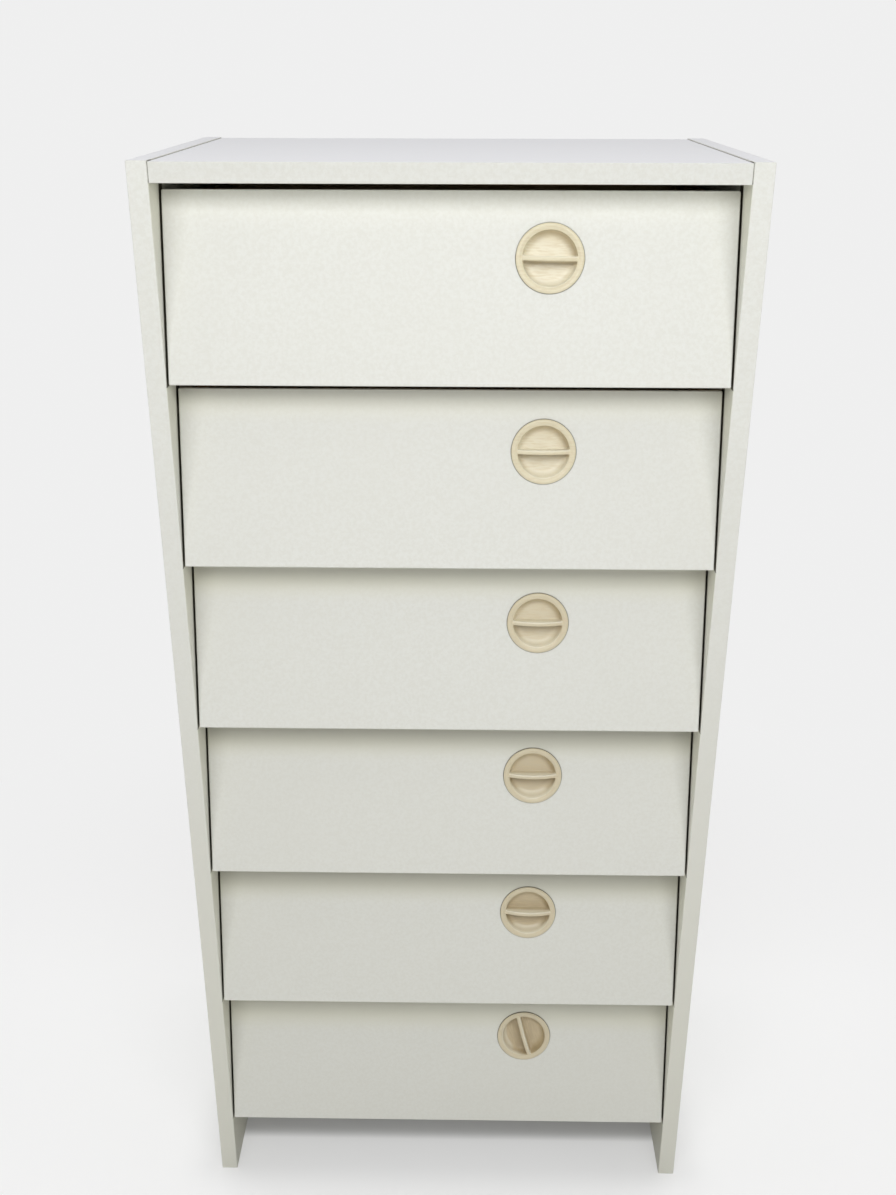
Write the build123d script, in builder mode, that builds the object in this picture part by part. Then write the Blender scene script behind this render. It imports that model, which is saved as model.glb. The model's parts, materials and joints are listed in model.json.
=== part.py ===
from build123d import *
import os
from math import atan2, cos, hypot, sin, tan

# Tall chest of six drawers: laminated board carcass, leaning drawer fronts, round recessed pulls.
# Frame: +Z up, the fronts face -Y, origin on the floor in the middle of the chest. Millimetres.

# ---- Carcass ----
width = 600
depth = 380
height = 1270
side_thickness = 20
top_thickness = 19
top_drop = 1  # the top panel lies this much below the side panels' upper ends
bottom_thickness = 19
bottom_setback = 2  # between the lowest front's back and the bottom panel
foot_height = 90  # floor to the bottom panel and to the lowest front's lower edge
board_bevel = 0.6

back_thickness = 4
back_inset = 8  # from the back panel's rear face to the carcass's rear edges
back_groove_depth = 6
groove_clearance = 0.15

# ---- Leaning drawer fronts ----
drawer_count = 6
front_lean = 38  # how far a front's upper edge sits behind its lower edge
front_thickness = 16
front_gap = 12  # upright gap from one front's upper edge to the lower edge of the next one up
top_gap = 8.5  # upright gap from the highest front to the top panel
front_side_gap = 2.2
front_bevel = 0.9
front_corner_radius = 2  # of the two upper corners

# ---- Drawer boxes ----
box_side_gap = 3  # between a drawer side and the carcass
box_floor_gap = 3  # between the lowest box and the bottom panel
box_top_gap = 15.5  # from a box's upper edge to its front's upper edge
box_rear_gap = 6  # between the boxes and the back panel
drawer_side_thickness = 13
drawer_back_thickness = 12
drawer_back_inset = 8
drawer_bottom_thickness = 4
drawer_bottom_rise = 10  # from a box's lower edge to its bottom
drawer_edge_bevel = 1.5
tongue_thickness = 6
tongue_length = 6
back_dado_depth = 4
bottom_groove_depth = 5

# ---- Runners: hardwood strips glued into housings in the side panels ----
runner_proud = 9  # how far a runner stands out of its side panel
runner_height = 18
runner_clearance = 0.3
runner_side_clearance = 0.5
runner_stop_wood = 22  # solid wood left between a drawer side's front end and its groove
runner_rear_gap = 5
housing_depth = 3
housing_clearance = 0.05

# ---- Dowels and pins ----
dowel_radius = 4
dowel_length = 32
dowel_in_side = 12
dowel_clearance = 0.05
dowel_end_clearance = 0.5
dowels_per_joint = 3
dowel_margin = 35

pin_radius = 0.8
pin_length = 20
pin_head_radius = 2.2
pin_head_thickness = 0.8
pin_count = 4
pin_margin = 40

# ---- Recessed pulls ----
pull_offset = 97  # right of the middle of the front
pull_down = 63  # below the front's upper edge, along the lean
pull_radius = 33.8
pull_body_radius = 30
pull_opening_radius = 27
pull_rim_height = 2.2
pull_rim_edge = 0.8  # thickness of the rim at its outer and inner edges
pull_rim_bevel = 1.7  # width of the bevels on either side of the rim's crest
pull_recess_depth = 10
pull_cove = 6  # two bevels round the recess, from its wall to its floor, take up this much
pull_cove_step = 1.75  # the corner between those bevels lies this far in and up
pull_draft = 1.2  # how much the recess wall closes in towards its floor
pull_floor_thickness = 1.8
pocket_clearance = 0.1
bar_thickness = 4.6
bar_sag = 0.5  # how far the middle of the bar bends down, in the plane of the front
bar_bow = 6  # how far the middle of the bar stands out from the plane of the front
pull_turns = {1: -1, 5: -1, 6: -74.5}  # degrees that single drawers' pulls sit turned by

# ---- What follows from the sizes above ----
inner_half = width / 2 - side_thickness
front_y = -depth / 2
rear_y = depth / 2
back_panel_y = rear_y - back_inset - back_thickness
top_underside = height - top_drop - top_thickness
bottom_topside = foot_height + bottom_thickness

pitch = (top_underside - top_gap + front_gap - foot_height) / drawer_count
front_rise = pitch - front_gap
front_length = hypot(front_rise, front_lean)
front_half = inner_half - front_side_gap
lean = atan2(front_lean, front_rise)

box_half = inner_half - box_side_gap
box_inner_half = box_half - drawer_side_thickness
box_low = bottom_topside + box_floor_gap - foot_height
box_high = front_rise - box_top_gap
box_rear_y = back_panel_y - box_rear_gap
drawer_back_y = box_rear_y - drawer_back_inset - drawer_back_thickness
drawer_bottom_low = box_low + drawer_bottom_rise
drawer_bottom_high = drawer_bottom_low + drawer_bottom_thickness
runner_middle = (box_low + box_high) / 2


def leaning_y(rise, behind):
    """Y of the plane that lies behind a front's face, at a rise above the front's lower edge."""
    return front_y + rise * tan(lean) + behind / cos(lean)


def leaning_band(behind_near, behind_far, low, high):
    """Corners, in Y and Z, of the slice between two planes parallel to a front's face."""
    return [
        (leaning_y(low, behind_near), low),
        (leaning_y(low, behind_far), low),
        (leaning_y(high, behind_far), high),
        (leaning_y(high, behind_near), high),
    ]


def spread(first, last, count):
    """Evenly spaced places from first to last."""
    return [first + (last - first) * step / (count - 1) for step in range(count)]


def save(shape, name):
    """Label a finished piece and write its STEP file."""
    shape.label = name
    export_step(shape, f"parts/{name}.step")


bottom_front_y = leaning_y(bottom_thickness, front_thickness) + bottom_setback
groove_end_y = leaning_y(runner_middle, front_thickness) + runner_stop_wood
runner_front_y = groove_end_y + runner_clearance
runner_nose_y = runner_front_y + runner_height / 2  # centre of the round front end
runner_rear_y = back_panel_y - runner_rear_gap
runner_groove_depth = runner_proud - box_side_gap + runner_side_clearance

# Drawers are drawn with their front's lower edge at Z = 0, and lifted into place. The front's own
# plane has X across, Y up the lean and Z out of the face.
front_plane = Plane(origin=(0, front_y, 0), x_dir=(1, 0, 0), z_dir=(0, -cos(lean), sin(lean)))
pull_centre = front_plane.from_local_coords((pull_offset, front_length - pull_down, 0))
pull_plane = Plane(origin=pull_centre, x_dir=front_plane.x_dir, z_dir=front_plane.z_dir)
drawer_lifts = [foot_height + pitch * (drawer_count - 1 - row) for row in range(drawer_count)]

top_dowel_places = [
    (y, top_underside + top_thickness / 2)
    for y in spread(front_y + dowel_margin, back_panel_y - dowel_margin, dowels_per_joint)
]
bottom_dowel_places = [
    (y, foot_height + bottom_thickness / 2)
    for y in spread(bottom_front_y + dowel_margin, back_panel_y - dowel_margin, dowels_per_joint)
]
pin_places = [
    (x, foot_height + bottom_thickness / 2)
    for x in spread(pin_margin - inner_half, inner_half - pin_margin, pin_count)
]

os.makedirs("parts", exist_ok=True)

# ---- Side panels: boards that run to the floor, grooved and bored on their inner faces ----
with BuildPart() as side_left:
    with Locations((-inner_half - side_thickness / 2, 0, height / 2)):
        Box(side_thickness, depth, height)
    chamfer(side_left.edges(), board_bevel)
    groove_low = foot_height - groove_clearance
    groove_high = top_underside + back_groove_depth
    with BuildSketch(Plane.YZ.offset(-inner_half)):
        with Locations((back_panel_y + back_thickness / 2, (groove_low + groove_high) / 2)):
            Rectangle(back_thickness + 2 * groove_clearance, groove_high - groove_low)
    extrude(amount=-back_groove_depth, mode=Mode.SUBTRACT)
    with BuildSketch(Plane.YZ.offset(-inner_half)):
        with Locations(*top_dowel_places, *bottom_dowel_places):
            Circle(dowel_radius + dowel_clearance)
    extrude(amount=-dowel_in_side - dowel_end_clearance, mode=Mode.SUBTRACT)
    with BuildSketch(Plane.YZ.offset(-inner_half)):
        with Locations(*[(runner_nose_y, lift + runner_middle) for lift in drawer_lifts]):
            Circle(runner_height / 2 + housing_clearance)
            Rectangle(
                runner_rear_y - runner_nose_y + housing_clearance,
                runner_height + 2 * housing_clearance,
                align=(Align.MIN, Align.CENTER),
            )
    extrude(amount=-housing_depth, mode=Mode.SUBTRACT)

save(side_left.part, "side_left")
save(mirror(side_left.part, about=Plane.YZ), "side_right")

# ---- Top panel: between the sides, grooved underneath for the back panel ----
dowel_in_panel = dowel_length - dowel_in_side + dowel_end_clearance
with BuildPart() as top_panel:
    with Locations((0, 0, top_underside + top_thickness / 2)):
        Box(2 * inner_half, depth, top_thickness)
    chamfer(top_panel.edges(), board_bevel)
    with BuildSketch(Plane.XY.offset(top_underside)):
        with Locations((0, back_panel_y + back_thickness / 2)):
            Rectangle(2 * inner_half, back_thickness + 2 * groove_clearance)
    extrude(amount=back_groove_depth, mode=Mode.SUBTRACT)
    for hand in (-1, 1):
        with BuildSketch(Plane.YZ.offset(hand * inner_half)):
            with Locations(*top_dowel_places):
                Circle(dowel_radius + dowel_clearance)
        extrude(amount=-hand * dowel_in_panel, mode=Mode.SUBTRACT)

save(top_panel.part, "top_panel")

# ---- Bottom panel: set back behind the lowest drawer's front ----
with BuildPart() as bottom_panel:
    with Locations((0, (bottom_front_y + back_panel_y) / 2, foot_height + bottom_thickness / 2)):
        Box(2 * inner_half, back_panel_y - bottom_front_y, bottom_thickness)
    chamfer(bottom_panel.edges(), board_bevel)
    for hand in (-1, 1):
        with BuildSketch(Plane.YZ.offset(hand * inner_half)):
            with Locations(*bottom_dowel_places):
                Circle(dowel_radius + dowel_clearance)
        extrude(amount=-hand * dowel_in_panel, mode=Mode.SUBTRACT)
    with BuildSketch(Plane.XZ.offset(-back_panel_y)):
        with Locations(*pin_places):
            Circle(pin_radius)
    extrude(amount=pin_length - back_thickness, mode=Mode.SUBTRACT)

save(bottom_panel.part, "bottom_panel")

# ---- Back panel: thin board in the grooves, pinned to the bottom panel's rear edge ----
back_low = foot_height
back_high = top_underside + back_groove_depth - groove_clearance
back_half = inner_half + back_groove_depth - groove_clearance
with BuildPart() as back_panel:
    with Locations((0, back_panel_y + back_thickness / 2, (back_low + back_high) / 2)):
        Box(2 * back_half, back_thickness, back_high - back_low)
    with BuildSketch(Plane.XZ.offset(-back_panel_y)):
        with Locations(*pin_places):
            Circle(pin_radius)
    extrude(amount=-back_thickness, mode=Mode.SUBTRACT)

save(back_panel.part, "back_panel")

# ---- Dowels and pins ----
with BuildPart() as dowel:
    Cylinder(dowel_radius, dowel_length, rotation=(0, 90, 0))

dowel_x = inner_half + dowel_in_side - dowel_length / 2
with BuildPart() as carcass_dowels:
    for hand in (-1, 1):
        with Locations(*[(hand * dowel_x, y, z) for y, z in top_dowel_places + bottom_dowel_places]):
            add(dowel.part)

save(carcass_dowels.part, "carcass_dowels")

with BuildPart() as pin:
    Cylinder(pin_radius, pin_length, align=(Align.CENTER, Align.CENTER, Align.MAX))
    Cylinder(pin_head_radius, pin_head_thickness, align=(Align.CENTER, Align.CENTER, Align.MIN))

with BuildPart() as back_panel_pins:
    with Locations(
        *[Plane((x, back_panel_y + back_thickness, z), z_dir=(0, 1, 0)) for x, z in pin_places]
    ):
        add(pin.part)

save(back_panel_pins.part, "back_panel_pins")

# ---- Runner: strip with a round front end, let into the side panel ----
with BuildPart() as runner:
    with BuildSketch(Plane.YZ.offset(housing_clearance - inner_half - housing_depth)):
        with Locations((runner_nose_y, runner_middle)):
            Circle(runner_height / 2)
            Rectangle(
                runner_rear_y - runner_nose_y,
                runner_height,
                align=(Align.MIN, Align.CENTER),
            )
    extrude(amount=housing_depth + runner_proud - housing_clearance)

# ---- Drawer side: tongue at the leaning front end, runner groove outside, grooves inside ----
with BuildPart() as drawer_side:
    with BuildSketch(Plane.YZ.offset(-box_half)):
        with BuildLine():
            Polyline(
                (leaning_y(box_low, front_thickness), box_low),
                (box_rear_y, box_low),
                (box_rear_y, box_high),
                (leaning_y(box_high, front_thickness), box_high),
                close=True,
            )
        make_face()
    extrude(amount=drawer_side_thickness)
    chamfer(drawer_side.edges().filter_by(Axis.Y).group_by(Axis.Z)[-1], drawer_edge_bevel)
    with BuildSketch(Plane.YZ.offset(-box_inner_half)):
        with BuildLine():
            Polyline(
                *leaning_band(front_thickness - tongue_length, front_thickness, box_low, box_high),
                close=True,
            )
        make_face()
    extrude(amount=-tongue_thickness)
    with BuildSketch(Plane.YZ.offset(-box_half)):
        with Locations((runner_nose_y, runner_middle)):
            Circle(runner_height / 2 + runner_clearance)
            Rectangle(
                box_rear_y - runner_nose_y,
                runner_height + 2 * runner_clearance,
                align=(Align.MIN, Align.CENTER),
            )
    extrude(amount=runner_groove_depth, mode=Mode.SUBTRACT)
    with BuildSketch(Plane.YZ.offset(-box_inner_half)):
        with Locations((0, (drawer_bottom_low + drawer_bottom_high) / 2)):
            Rectangle(2 * depth, drawer_bottom_thickness + 2 * groove_clearance)
    extrude(amount=-bottom_groove_depth, mode=Mode.SUBTRACT)
    with BuildSketch(Plane.YZ.offset(-box_inner_half)):
        with Locations((drawer_back_y + drawer_back_thickness / 2, (box_low + box_high) / 2)):
            Rectangle(drawer_back_thickness + 2 * groove_clearance, 2 * front_rise)
    extrude(amount=-back_dado_depth, mode=Mode.SUBTRACT)

# ---- Drawer front: leaning board with dados, a bottom groove and a pocket for the pull ----
pocket_depth = pull_recess_depth + pull_floor_thickness + pocket_clearance
with BuildPart(front_plane) as drawer_front:
    with Locations((0, front_length / 2, -front_thickness / 2)):
        Box(2 * front_half, front_length, front_thickness)
    through_edges = drawer_front.edges().filter_by(Axis((0, 0, 0), front_plane.z_dir))
    fillet(through_edges.group_by(Axis.Z)[-1], front_corner_radius)
    chamfer(drawer_front.edges(), front_bevel)
    for hand in (-1, 1):
        dado_outer = hand * (box_inner_half + tongue_thickness + groove_clearance)
        with BuildSketch(Plane.YZ.offset(dado_outer)):
            with BuildLine():
                Polyline(
                    *leaning_band(
                        front_thickness - tongue_length - groove_clearance,
                        2 * front_thickness,
                        box_low - groove_clearance,
                        box_high + groove_clearance,
                    ),
                    close=True,
                )
            make_face()
        extrude(amount=-hand * (tongue_thickness + 2 * groove_clearance), mode=Mode.SUBTRACT)
    with BuildSketch(Plane.YZ):
        with BuildLine():
            Polyline(
                *leaning_band(
                    front_thickness - bottom_groove_depth,
                    2 * front_thickness,
                    drawer_bottom_low - groove_clearance,
                    drawer_bottom_high + groove_clearance,
                ),
                close=True,
            )
        make_face()
    extrude(amount=box_inner_half + bottom_groove_depth, both=True, mode=Mode.SUBTRACT)
    with BuildSketch(pull_plane):
        Circle(pull_body_radius + pocket_clearance)
    extrude(amount=-pocket_depth, mode=Mode.SUBTRACT)

# ---- Drawer back: between the sides, in their dados ----
with BuildPart() as drawer_back:
    with Locations((0, drawer_back_y + drawer_back_thickness / 2, (box_low + box_high) / 2)):
        Box(
            2 * (box_inner_half + back_dado_depth - groove_clearance),
            drawer_back_thickness,
            box_high - box_low,
        )
    chamfer(drawer_back.edges().filter_by(Axis.X).group_by(Axis.Z)[-1], drawer_edge_bevel)
    with BuildSketch(Plane.XZ.offset(-drawer_back_y)):
        with Locations((0, (drawer_bottom_low + drawer_bottom_high) / 2)):
            Rectangle(width, drawer_bottom_thickness + 2 * groove_clearance)
    extrude(amount=-bottom_groove_depth, mode=Mode.SUBTRACT)

# ---- Drawer bottom: thin board held in grooves on all four sides ----
drawer_bottom_half = box_inner_half + bottom_groove_depth - groove_clearance
drawer_bottom_front = (
    leaning_y(drawer_bottom_high, front_thickness - bottom_groove_depth) + groove_clearance
)
drawer_bottom_rear = drawer_back_y + bottom_groove_depth - groove_clearance
with BuildPart() as drawer_bottom:
    with BuildSketch(Plane.XY.offset(drawer_bottom_low)):
        with Locations((0, (drawer_bottom_front + drawer_bottom_rear) / 2)):
            Rectangle(2 * drawer_bottom_half, drawer_bottom_rear - drawer_bottom_front)
    extrude(amount=drawer_bottom_thickness)

# ---- Pull: one moulding, drawn with Z out of the drawer's face and Y up it ----
cup_back = -pull_recess_depth - pull_floor_thickness
wall_foot_radius = pull_opening_radius - pull_draft
with BuildPart() as bar:
    with BuildSketch(Plane.XY.offset(cup_back / 2 - pull_recess_depth / 2)):
        with BuildLine():
            for half in (bar_thickness / 2, -bar_thickness / 2):
                ThreePointArc(
                    (-pull_opening_radius, half),
                    (0, half - bar_sag),
                    (pull_opening_radius, half),
                )
            for end in (-pull_opening_radius, pull_opening_radius):
                Line((end, bar_thickness / 2), (end, -bar_thickness / 2))
        make_face()
    extrude(amount=pull_recess_depth + 2 * bar_bow)
    with BuildSketch(Plane.XZ):
        with BuildLine():
            ThreePointArc(
                (-pull_opening_radius, pull_rim_edge),
                (0, bar_bow),
                (pull_opening_radius, pull_rim_edge),
            )
            Polyline(
                (pull_opening_radius, pull_rim_edge),
                (pull_opening_radius, cup_back),
                (-pull_opening_radius, cup_back),
                (-pull_opening_radius, pull_rim_edge),
            )
        make_face()
    extrude(amount=2 * bar_thickness, both=True, mode=Mode.INTERSECT)

with BuildPart() as pull:
    with BuildSketch(Plane.XZ):
        with BuildLine():
            Polyline(
                (0, cup_back),
                (pull_body_radius, cup_back),
                (pull_body_radius, 0),
                (pull_radius, 0),
                (pull_radius, pull_rim_edge),
                (pull_radius - pull_rim_bevel, pull_rim_height),
                (pull_opening_radius + pull_rim_bevel, pull_rim_height),
                (pull_opening_radius, pull_rim_edge),
                (wall_foot_radius, pull_cove - pull_recess_depth),
                (wall_foot_radius - pull_cove_step, pull_cove_step - pull_recess_depth),
                (wall_foot_radius - pull_cove, -pull_recess_depth),
                (0, -pull_recess_depth),
                close=True,
            )
        make_face()
    revolve(axis=Axis.Z)
    add(bar.part)

# ---- One drawer and one pair of runners for each row, counted from the top ----
for number, lift in enumerate(drawer_lifts, start=1):
    rise = Location((0, 0, lift))
    turn = Location((0, 0, 0), (0, 0, pull_turns.get(number, 0)))
    save(drawer_front.part.moved(rise), f"drawer_{number}_front")
    save(drawer_side.part.moved(rise), f"drawer_{number}_side_left")
    save(mirror(drawer_side.part, about=Plane.YZ).moved(rise), f"drawer_{number}_side_right")
    save(drawer_back.part.moved(rise), f"drawer_{number}_back")
    save(drawer_bottom.part.moved(rise), f"drawer_{number}_bottom")
    save(pull.part.moved(rise * pull_plane.location * turn), f"drawer_{number}_pull")
    save(runner.part.moved(rise), f"runner_left_{number}")
    save(mirror(runner.part, about=Plane.YZ).moved(rise), f"runner_right_{number}")
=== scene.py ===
"""Dresses a tall laminated chest of six drawers: boards, moulded pulls, timber boxes and a studio."""

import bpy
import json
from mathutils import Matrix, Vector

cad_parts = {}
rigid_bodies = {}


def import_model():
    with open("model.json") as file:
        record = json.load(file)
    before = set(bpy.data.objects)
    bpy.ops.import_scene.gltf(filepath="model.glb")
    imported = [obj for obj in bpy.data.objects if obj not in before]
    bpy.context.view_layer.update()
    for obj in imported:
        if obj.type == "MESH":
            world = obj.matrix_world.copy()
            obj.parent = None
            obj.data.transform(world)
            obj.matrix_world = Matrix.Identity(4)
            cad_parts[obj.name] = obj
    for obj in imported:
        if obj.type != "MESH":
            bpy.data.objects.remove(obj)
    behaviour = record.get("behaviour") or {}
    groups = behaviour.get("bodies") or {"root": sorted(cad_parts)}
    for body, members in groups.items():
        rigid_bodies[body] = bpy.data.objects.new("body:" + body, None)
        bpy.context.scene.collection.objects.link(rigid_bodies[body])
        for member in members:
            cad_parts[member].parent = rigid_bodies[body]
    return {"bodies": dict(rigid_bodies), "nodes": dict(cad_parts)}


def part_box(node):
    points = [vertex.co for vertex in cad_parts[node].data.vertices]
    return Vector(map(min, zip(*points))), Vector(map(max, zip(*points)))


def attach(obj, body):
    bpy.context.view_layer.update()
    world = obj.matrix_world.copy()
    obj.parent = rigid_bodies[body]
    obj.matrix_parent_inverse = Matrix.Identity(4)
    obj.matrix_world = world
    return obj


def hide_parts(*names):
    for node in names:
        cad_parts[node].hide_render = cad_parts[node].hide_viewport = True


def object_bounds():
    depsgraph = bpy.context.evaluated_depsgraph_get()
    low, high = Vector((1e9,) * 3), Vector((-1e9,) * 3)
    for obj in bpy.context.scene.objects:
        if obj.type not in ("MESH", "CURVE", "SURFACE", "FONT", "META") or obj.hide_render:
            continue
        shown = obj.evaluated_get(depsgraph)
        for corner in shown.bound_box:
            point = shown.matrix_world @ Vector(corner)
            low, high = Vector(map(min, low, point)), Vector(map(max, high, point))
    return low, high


bl_info = {
    "name": "Tall Chest of Drawers",
    "version": (1, 0, 0),
    "blender": (4, 5, 0),
    "location": "3D View > Sidebar > Chest",
    "description": "Finishes a six-drawer laminated chest and builds its moulded pulls and studio",
    "category": "Object",
}

import json
from math import atan2, cos, pi, sin, sqrt

import bmesh
import bpy
from bpy.props import FloatProperty, FloatVectorProperty, IntProperty, PointerProperty
from mathutils import Matrix, Vector

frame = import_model()
cad_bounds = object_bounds()

MM = 0.001
DRAWERS = sorted(body for body in frame["bodies"] if body.startswith("drawer_"))
ACROSS = Vector((1, 0, 0))
BAR_SHARE = 0.7  # of how far a pull stands out of its front; only its bar reaches past that


# ---- What the frame gives ----


def facing(cad_node):
    """Direction that the largest forward face of a CAD node looks in."""
    faces = [face for face in frame["nodes"][cad_node].data.polygons if face.normal.y < 0]
    return max(faces, key=lambda face: face.area).normal.copy()


def reach(cad_node, direction):
    """Least and greatest distance of a CAD node's points along a direction."""
    along = [direction.dot(vertex.co) for vertex in frame["nodes"][cad_node].data.vertices]
    return min(along), max(along)


def bar_turn(points):
    """Angle of the long axis of a cloud of flat points, between a quarter turn either way."""
    middle = sum(points, Vector((0, 0))) / len(points)
    around = [point - middle for point in points]
    product = sum(p.x * p.y for p in around)
    squares = sum(p.x * p.x - p.y * p.y for p in around)
    return atan2(2 * product, squares) / 2


def pull_seat(drawer):
    """Place and turn of a drawer's pull: its origin lies on the front's face, Z out, X along the bar."""
    front, pull = f"{drawer}_front", f"{drawer}_pull"
    out = facing(front)
    up = out.cross(ACROSS)
    face = reach(front, out)[1]
    middle_x = sum(reach(pull, ACROSS)) / 2
    middle_up = sum(reach(pull, up)) / 2
    middle = ACROSS * middle_x + up * middle_up + out * face
    axes = Matrix((ACROSS, up, out)).transposed().to_4x4()
    proud = reach(pull, out)[1] - face
    crown = [
        Vector((ACROSS.dot(vertex.co), up.dot(vertex.co)))
        for vertex in frame["nodes"][pull].data.vertices
        if out.dot(vertex.co) - face > proud * BAR_SHARE
    ]
    return Matrix.Translation(middle) @ axes @ Matrix.Rotation(bar_turn(crown), 4, "Z")


# ---- Sizes and colours that can be changed ----


class ChestFinish(bpy.types.PropertyGroup):
    """Colours and grain of the chest's materials, and the tones that paint light and shade on them"""

    laminate: FloatVectorProperty(
        name="Laminate",
        description="Off-white of the laminated boards",
        subtype="COLOR",
        size=3,
        min=0,
        max=1,
        default=(0.815, 0.821, 0.772),
    )
    # Random clouded tone of the laminate, and also painted shade: laid on the fronts and sides darker
    # towards the floor.
    laminate_shade: FloatVectorProperty(
        name="Laminate shade",
        description="Slightly aged tone that clouds the laminate",
        subtype="COLOR",
        size=3,
        min=0,
        max=1,
        default=(0.755, 0.752, 0.690),
    )
    # Painted shade: the yellower shadow high on each front and on the inner faces high in each bay,
    # under the front above, and a yellower tone lower down the chest.
    laminate_painted_shade: FloatVectorProperty(
        name="Painted shade laminate",
        description="Yellower tone high on each front, where the one above keeps the light off",
        subtype="COLOR",
        size=3,
        min=0,
        max=1,
        default=(0.784, 0.777, 0.650),
    )
    # Dust, which also stands in for light: a painted bluish sheen, the sky's reflection, on faces that
    # look up.
    dust: FloatVectorProperty(
        name="Dust",
        description="Bluish grey film on the surfaces that face up",
        subtype="COLOR",
        size=3,
        min=0,
        max=1,
        default=(0.770, 0.770, 0.800),
    )
    # Dark brown for the dirt in the joints, and for painted shade in the gaps beside the fronts, under
    # their overhangs, at their ends, on the feet and round the pulls.
    grime_and_shade: FloatVectorProperty(
        name="Grime",
        description="Dark brown that gathers in the joints and gaps",
        subtype="COLOR",
        size=3,
        min=0,
        max=1,
        default=(0.060, 0.050, 0.028),
    )
    pebble: FloatProperty(
        name="Pebble",
        description="Size of one grain of the laminate's pebbled surface",
        unit="LENGTH",
        min=0.2 * MM,
        default=1.3 * MM,
    )
    plastic: FloatVectorProperty(
        name="Pull plastic",
        description="Cream of the moulded pulls",
        subtype="COLOR",
        size=3,
        min=0,
        max=1,
        default=(0.785, 0.718, 0.520),
    )
    # Browner cream for the flow streaks in the plastic, and for painted shade high in each pull's upper
    # pocket.
    plastic_streak_and_shade: FloatVectorProperty(
        name="Plastic streaks and shade",
        description="Browner cream where hands and dust have aged the pulls",
        subtype="COLOR",
        size=3,
        min=0,
        max=1,
        default=(0.700, 0.600, 0.400),
    )
    # Painted shade: browner rims on the pulls low on the chest, where less light reaches.
    plastic_low_shade: FloatVectorProperty(
        name="Painted shade on low pulls",
        description="Browner cream of the lower pulls' rims",
        subtype="COLOR",
        size=3,
        min=0,
        max=1,
        default=(0.690, 0.615, 0.440),
    )
    # Painted light: recesses of the upper pulls painted paler than the plastic, and the faces beside the
    # bar lit.
    recess: FloatVectorProperty(
        name="Recess",
        description="Pale cream of the upper pulls' recesses, which hands have kept clean",
        subtype="COLOR",
        size=3,
        min=0,
        max=1,
        default=(0.885, 0.840, 0.685),
    )
    # Painted shade: recesses of the pulls low on the chest browner.
    recess_painted_shade: FloatVectorProperty(
        name="Painted shade in low recesses",
        description="Brown of the lowest pulls' recesses",
        subtype="COLOR",
        size=3,
        min=0,
        max=1,
        default=(0.560, 0.465, 0.305),
    )
    # Painted shadow: the brown under each pull's lip and under its bar.
    plastic_painted_shadow: FloatVectorProperty(
        name="Plastic grime",
        description="Brown of the recesses where a lip or a bar hangs over them",
        subtype="COLOR",
        size=3,
        min=0,
        max=1,
        default=(0.420, 0.330, 0.190),
    )
    timber: FloatVectorProperty(
        name="Timber",
        description="Early wood of the drawer boxes, runners and dowels",
        subtype="COLOR",
        size=3,
        min=0,
        max=1,
        default=(0.640, 0.460, 0.290),
    )
    timber_grain: FloatVectorProperty(
        name="Timber grain",
        description="Late wood and flecks of the same timber",
        subtype="COLOR",
        size=3,
        min=0,
        max=1,
        default=(0.500, 0.320, 0.180),
    )
    hardboard: FloatVectorProperty(
        name="Hardboard",
        description="Brown of the pressed fibre of the back and the drawer bottoms",
        subtype="COLOR",
        size=3,
        min=0,
        max=1,
        default=(0.300, 0.180, 0.095),
    )
    steel: FloatVectorProperty(
        name="Steel",
        description="Colour of the panel pins",
        subtype="COLOR",
        size=3,
        min=0,
        max=1,
        default=(0.560, 0.550, 0.530),
    )


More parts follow.
